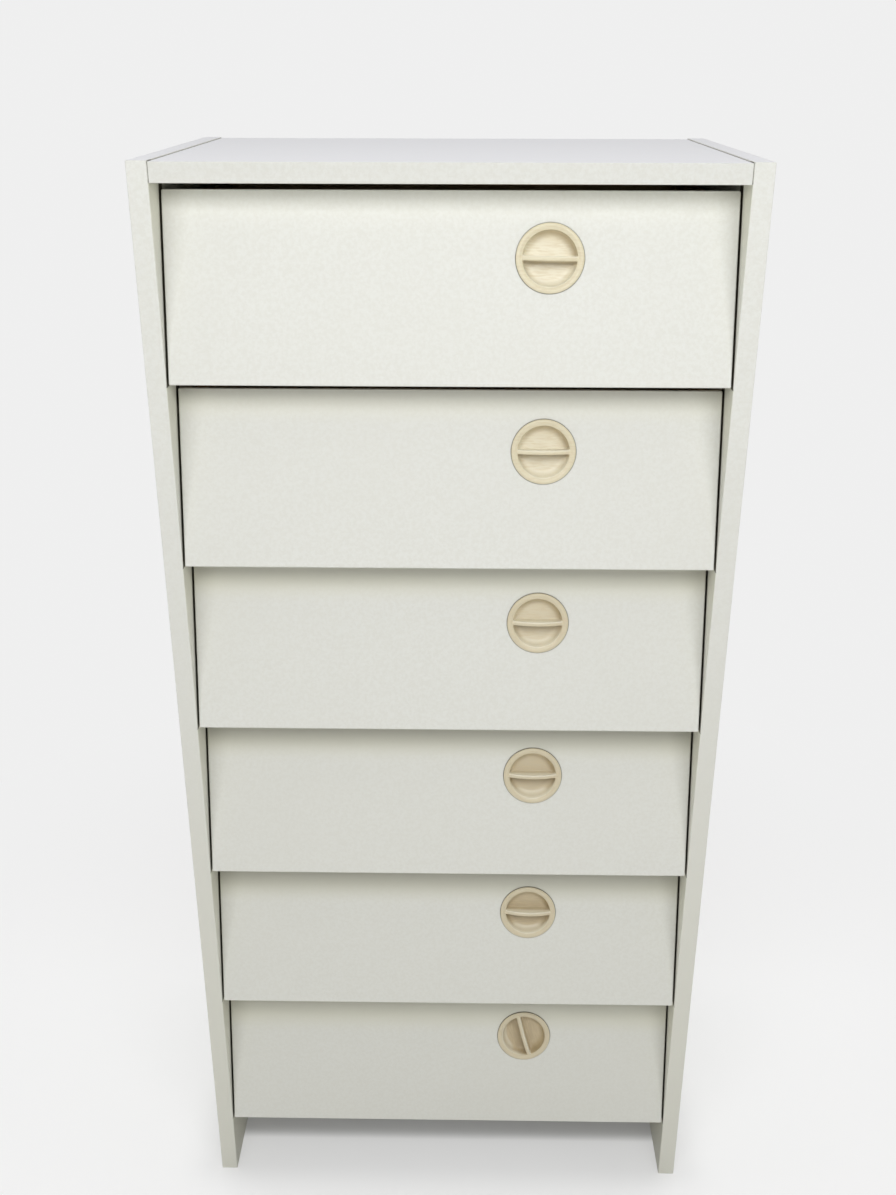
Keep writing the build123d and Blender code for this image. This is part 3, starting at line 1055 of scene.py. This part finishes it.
    def mesh(self):
        """The finished cage as a mesh."""
        upper = self.pocket(1, self.sizes.bar_soft_edge)
        lower = self.pocket(-1, self.sizes.lip)
        left_end, right_end = self.bar_top(upper, lower)
        self.rim(upper, lower, left_end, right_end)
        bmesh.ops.recalc_face_normals(self.shell, faces=self.shell.faces)
        for face in self.shell.faces:
            face.smooth = True
        made = bpy.data.meshes.new("moulded_pull")
        self.shell.to_mesh(made)
        self.shell.free()
        return made


# ---- The studio ----

FLOOR_SIZE = 12  # metres each way
FLOOR_LIT, FLOOR_SEEN = 0.86, 0.50  # greys of the floor to light that bounces, and to the camera
FLOOR_FADE = (0.5, 1.2)  # from the middle, over which the shadowed floor turns into backdrop
SHADE_INSET = 36 * MM  # from the chest's front and back to where the painted shadow on the floor under it begins
SHADE_EDGE = 40 * MM  # over which it darkens there
SHADE_KEEPS = 0.24  # of the floor's lift, under the chest
HALO_REACH = 80 * MM  # of the faint painted shade on the floor beside the chest
FRONT_LAMP_GAP = Vector((0.06, -1.35, 0.69))  # from the middle of the chest's upper front edge
FRONT_LAMP_SIZE = (1.9, 0.75)
TOP_LAMP_GAP = Vector((-0.10, 0.11, 0.93))  # from the middle of the chest's upper back edge
TOP_LAMP_SIZE = (1.2, 0.6)


def grey(level):
    """An opaque grey, from 0, black, to 1, white."""
    return (level, level, level, 1)


def under_chest(tree, parts):
    """Painted shadow: 1 on the floor well under the chest and 0 away from it, with soft edges and a
    faint painted shade beside it.
    """
    low, high = cad_bounds
    front_edge = low.y + SHADE_INSET
    back_edge = high.y - SHADE_INSET
    away = maths(tree, "ABSOLUTE", parts["X"])
    shade = product(
        tree,
        between(tree, parts["Y"], front_edge, front_edge + SHADE_EDGE),
        between(tree, parts["Y"], back_edge - SHADE_EDGE, back_edge, 1.0, 0.0),
        between(tree, away, high.x - 15 * MM, high.x - 5 * MM, 1.0, 0.0),
    )
    halo = product(
        tree,
        between(tree, away, high.x, high.x + HALO_REACH, 0.35, 0.0),
        between(tree, parts["Y"], low.y - 60 * MM, low.y + 10 * MM),
        between(tree, parts["Y"], 0.5 * low.y, 0.5 * high.y, 1.0, 0.0),
    )
    return maths(tree, "MAXIMUM", shade, halo)


def floor_surface(studio):
    """Pale floor that keeps the chest's real shadow near it, adds a painted shadow under the chest, and
    fades into the background further out.
    """
    made = bpy.data.materials.new("studio_floor")
    made.use_nodes = True
    tree = made.node_tree
    tree.nodes.clear()
    place = node(tree, "TexCoord").outputs["Object"]
    seen = node(tree, "LightPath").outputs["Is Camera Ray"]
    paper = node(tree, "BsdfDiffuse", {"Color": grey(FLOOR_LIT)})
    shaded = node(tree, "BsdfDiffuse", {"Color": grey(FLOOR_SEEN)})
    under = under_chest(tree, parts_of(tree, place))
    lift = studio.floor_lift
    # Painted shadow: the floor's glow is lowered under the chest and beside it.
    level = between(tree, under, 0.0, 1.0, lift, SHADE_KEEPS * lift)
    glow = node(tree, "Emission", {"Color": grey(1), "Strength": level})
    near = node(tree, "AddShader", {0: shaded.outputs[0], 1: glow.outputs[0]})
    plain = node(tree, "Emission", {"Color": grey(studio.backdrop), "Strength": 1.0})
    fade = between(tree, length_of(tree, place), *FLOOR_FADE)
    sweep = node(tree, "MixShader", {0: fade, 1: near.outputs[0], 2: plain.outputs[0]})
    whole = node(tree, "MixShader", {0: seen, 1: paper.outputs[0], 2: sweep.outputs[0]})
    node(tree, "OutputMaterial", {"Surface": whole.outputs[0]})
    return made


def surroundings(studio):
    """World that lights evenly, save for a dark band in front, and shows the backdrop to the camera."""
    world = bpy.data.worlds.new("studio")
    world.use_nodes = True
    tree = world.node_tree
    tree.nodes.clear()
    rays = node(tree, "LightPath").outputs
    seen = maths(tree, "MAXIMUM", rays["Is Camera Ray"], rays["Is Glossy Ray"])
    seen = maths(tree, "MAXIMUM", seen, rays["Is Transmission Ray"])
    way = parts_of(tree, node(tree, "TexCoord").outputs["Generated"])
    band = product(
        tree,
        between(tree, way["Y"], -0.25, 0.25, 1.0, 0.0),
        between(tree, way["Z"], 0.07, 0.23),
        between(tree, way["Z"], 0.72, 0.88, 1.0, 0.0),
    )
    level = between(tree, band, 0.0, 1.0, studio.daylight, 0.0)
    light = node(tree, "Background", {"Color": grey(1), "Strength": level})
    shown = node(tree, "Background", {"Color": grey(1), "Strength": studio.backdrop})
    both = node(tree, "MixShader", {0: seen, 1: light.outputs[0], 2: shown.outputs[0]})
    node(tree, "OutputWorld", {"Surface": both.outputs[0]})
    return world


def softbox(name, place, size, power, tilt=0.0):
    """A rectangular lamp that shines down, or towards the back if tilted, hidden from the camera."""
    lamp = bpy.data.lights.new(name, "AREA")
    lamp.shape = "RECTANGLE"
    lamp.size, lamp.size_y = size
    lamp.energy = power
    holder = bpy.data.objects.new(name, lamp)
    holder.location = place
    holder.rotation_euler.x = tilt
    holder.visible_camera = False
    bpy.context.scene.collection.objects.link(holder)


# ---- Operators ----


class CHEST_OT_carcass(bpy.types.Operator):
    """Finish the laminated boards and the hardboard back of the carcass"""

    bl_idname = "chest.carcass"
    bl_label = "Dress Carcass"

    def execute(self, context):
        finish = context.scene.chest_finish
        dress(satin_laminate("laminate_sides", finish, side_marks), "side_left", "side_right")
        dress(satin_laminate("laminate_top", finish, top_marks), "top_panel", "bottom_panel")
        dress(pressed_hardboard(finish), "back_panel")
        return {"FINISHED"}


class CHEST_OT_fastenings(bpy.types.Operator):
    """Finish the runners, dowels and panel pins"""

    bl_idname = "chest.fastenings"
    bl_label = "Dress Runners and Fastenings"

    def execute(self, context):
        finish = context.scene.chest_finish
        runners = [name for name in frame["nodes"] if name.startswith("runner_")]
        dress(timber("runner_beech", finish, DEPTHWAYS), *runners)
        dress(timber("dowel_beech", finish, SIDEWAYS), "carcass_dowels")
        dress(bright_steel(finish), "back_panel_pins")
        return {"FINISHED"}


class CHEST_OT_drawer_boxes(bpy.types.Operator):
    """Finish the timber sides and backs and the hardboard bottoms of the drawers"""

    bl_idname = "chest.drawer_boxes"
    bl_label = "Dress Drawer Boxes"

    def execute(self, context):
        finish = context.scene.chest_finish
        side_timber = timber("drawer_side_beech", finish, DEPTHWAYS)
        back_timber = timber("drawer_back_beech", finish, SIDEWAYS)
        base = pressed_hardboard(finish)
        for drawer in DRAWERS:
            dress(side_timber, f"{drawer}_side_left", f"{drawer}_side_right")
            dress(back_timber, f"{drawer}_back")
            dress(base, f"{drawer}_bottom")
        return {"FINISHED"}


class CHEST_OT_drawer_fronts(bpy.types.Operator):
    """Finish the six leaning laminated fronts"""

    bl_idname = "chest.drawer_fronts"
    bl_label = "Dress Drawer Fronts"

    def execute(self, context):
        surface = satin_laminate("laminate_fronts", context.scene.chest_finish, front_marks)
        dress(surface, *[f"{drawer}_front" for drawer in DRAWERS])
        return {"FINISHED"}


class CHEST_OT_pulls(bpy.types.Operator):
    """Build the moulded pulls and seat one in each drawer front"""

    bl_idname = "chest.pulls"
    bl_label = "Build Pulls"

    def execute(self, context):
        sizes = context.scene.chest_pull
        mesh = PullShape(sizes).mesh()
        mesh.materials.append(moulded_plastic(context.scene.chest_finish, sizes))
        for drawer in DRAWERS:
            pull = bpy.data.objects.new(f"{drawer}_moulded_pull", mesh)
            context.scene.collection.objects.link(pull)
            pull.matrix_world = pull_seat(drawer)
            rounding = pull.modifiers.new("rounding", "SUBSURF")
            rounding.levels = sizes.smoothness
            rounding.render_levels = sizes.smoothness
            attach(pull, drawer)
            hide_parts(f"{drawer}_pull")
        return {"FINISHED"}


class CHEST_OT_studio(bpy.types.Operator):
    """Lay the floor and set the lamps, the background and the camera"""

    bl_idname = "chest.studio"
    bl_label = "Build Studio"

    def execute(self, context):
        studio = context.scene.chest_studio
        scene = context.scene
        bpy.ops.mesh.primitive_grid_add(x_subdivisions=8, y_subdivisions=8, size=FLOOR_SIZE)
        floor = context.object
        floor.name = "floor"
        floor.data.materials.append(floor_surface(studio))
        scene.world = surroundings(studio)
        lowest, highest = cad_bounds
        over_front = Vector((0, lowest.y, highest.z)) + FRONT_LAMP_GAP
        softbox("front_softbox", over_front, FRONT_LAMP_SIZE, studio.softbox_power, studio.softbox_tilt)
        over_back = Vector((0, highest.y, highest.z)) + TOP_LAMP_GAP
        softbox("top_softbox", over_back, TOP_LAMP_SIZE, studio.top_power)

        camera = bpy.data.objects.new("camera", bpy.data.cameras.new("camera"))
        camera.data.lens = studio.lens
        camera.location = studio.camera_place
        pitch, roll, turn = studio.camera_angles
        look = Matrix.Rotation(turn, 4, "Z") @ Matrix.Rotation(pi / 2 - pitch, 4, "X")
        camera.rotation_euler = (look @ Matrix.Rotation(roll, 4, "Z")).to_euler()
        scene.collection.objects.link(camera)
        scene.camera = camera
        scene.view_settings.view_transform = "Standard"
        return {"FINISHED"}


# ---- Panel and registration ----


class CHEST_PT_dressing(bpy.types.Panel):
    """Lists the steps that dress the chest"""

    bl_label = "Chest of Drawers"
    bl_idname = "CHEST_PT_dressing"
    bl_space_type = "VIEW_3D"
    bl_region_type = "UI"
    bl_category = "Chest"

    def draw(self, context):
        for step in STEPS:
            self.layout.operator(step.bl_idname)
        for group in (
            context.scene.chest_finish,
            context.scene.chest_pull,
            context.scene.chest_studio,
        ):
            box = self.layout.box()
            for name in group.__annotations__:
                box.prop(group, name)


STEPS = (
    CHEST_OT_carcass,
    CHEST_OT_fastenings,
    CHEST_OT_drawer_boxes,
    CHEST_OT_drawer_fronts,
    CHEST_OT_pulls,
    CHEST_OT_studio,
)
CLASSES = (ChestFinish, ChestPull, ChestStudio, *STEPS, CHEST_PT_dressing)


def register():
    """Adds the classes and the scene's settings."""
    for each in CLASSES:
        bpy.utils.register_class(each)
    bpy.types.Scene.chest_finish = PointerProperty(type=ChestFinish)
    bpy.types.Scene.chest_pull = PointerProperty(type=ChestPull)
    bpy.types.Scene.chest_studio = PointerProperty(type=ChestStudio)


def unregister():
    """Takes away what register added."""
    del bpy.types.Scene.chest_studio
    del bpy.types.Scene.chest_pull
    del bpy.types.Scene.chest_finish
    for each in reversed(CLASSES):
        bpy.utils.unregister_class(each)


def main():
    """Dresses the chest in order."""
    register()
    for step in STEPS:
        group, name = step.bl_idname.split(".")
        getattr(getattr(bpy.ops, group), name)()


if __name__ == "__main__":
    main()
